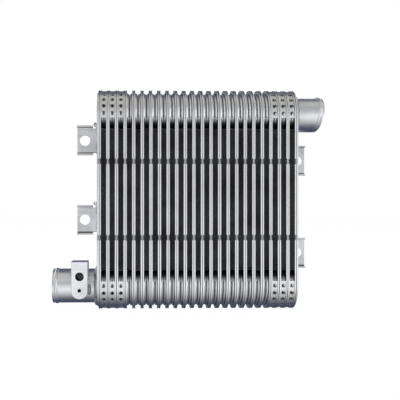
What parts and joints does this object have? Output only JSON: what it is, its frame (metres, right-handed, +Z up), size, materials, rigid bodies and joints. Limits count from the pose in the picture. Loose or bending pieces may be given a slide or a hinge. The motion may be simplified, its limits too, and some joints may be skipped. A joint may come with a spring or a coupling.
{
  "type": "hydraulic oil cooler",
  "caption": "Stacked-plate aluminium oil cooler: flat tubes with corrugated fins between them, a tank along the top and bottom, a beaded hose pipe on each side and four side brackets.",
  "frame": {"origin": "centre of the object's bounding box", "axes": "+X along the stack of tubes towards the upper pipe's side, +Y from the front face to the back, +Z up towards the upper tank"},
  "size_m": [0.3333, 0.064, 0.271],
  "materials": {
    "tube_plate": "satin",
    "fin": "dark satin",
    "turbulator": "satin",
    "end_plate": "satin",
    "perforated_band": "satin",
    "pipe": "brushed",
    "machined_boss": "fine machined",
    "bracket": "satin"
  },
  "bodies": {
    "root": {"fin_01": "fin", "fin_02": "fin", "fin_03": "fin", "fin_04": "fin", "fin_05": "fin", "fin_06": "fin", "fin_07": "fin", "fin_08": "fin", "fin_09": "fin", "fin_10": "fin", "fin_11": "fin", "fin_12": "fin", "fin_13": "fin", "fin_14": "fin", "fin_15": "fin", "fin_16": "fin", "fin_17": "fin", "fin_18": "fin", "fin_19": "fin", "fin_20": "fin", "fin_21": "fin", "fin_22": "fin", "fin_23": "fin", "left_end_plate": "end_plate", "left_lower_bracket": "bracket", "left_upper_bracket": "bracket", "lower_perforated_bands": "perforated_band", "lower_pipe": "pipe", "right_end_plate": "end_plate", "right_lower_bracket": "bracket", "right_upper_bracket": "bracket", "sensor_boss": "machined_boss", "tube_01": "tube_plate", "tube_02": "tube_plate", "tube_03": "tube_plate", "tube_04": "tube_plate", "tube_05": "tube_plate", "tube_06": "tube_plate", "tube_07": "tube_plate", "tube_08": "tube_plate", "tube_09": "tube_plate", "tube_10": "tube_plate", "tube_11": "tube_plate", "tube_12": "tube_plate", "tube_13": "tube_plate", "tube_14": "tube_plate", "tube_15": "tube_plate", "tube_16": "tube_plate", "tube_17": "tube_plate", "tube_18": "tube_plate", "tube_19": "tube_plate", "tube_20": "tube_plate", "tube_21": "tube_plate", "tube_22": "tube_plate", "tube_23": "tube_plate", "tube_24": "tube_plate", "turbulators": "turbulator", "upper_perforated_bands": "perforated_band", "upper_pipe": "pipe"}
  },
  "joints": []
}
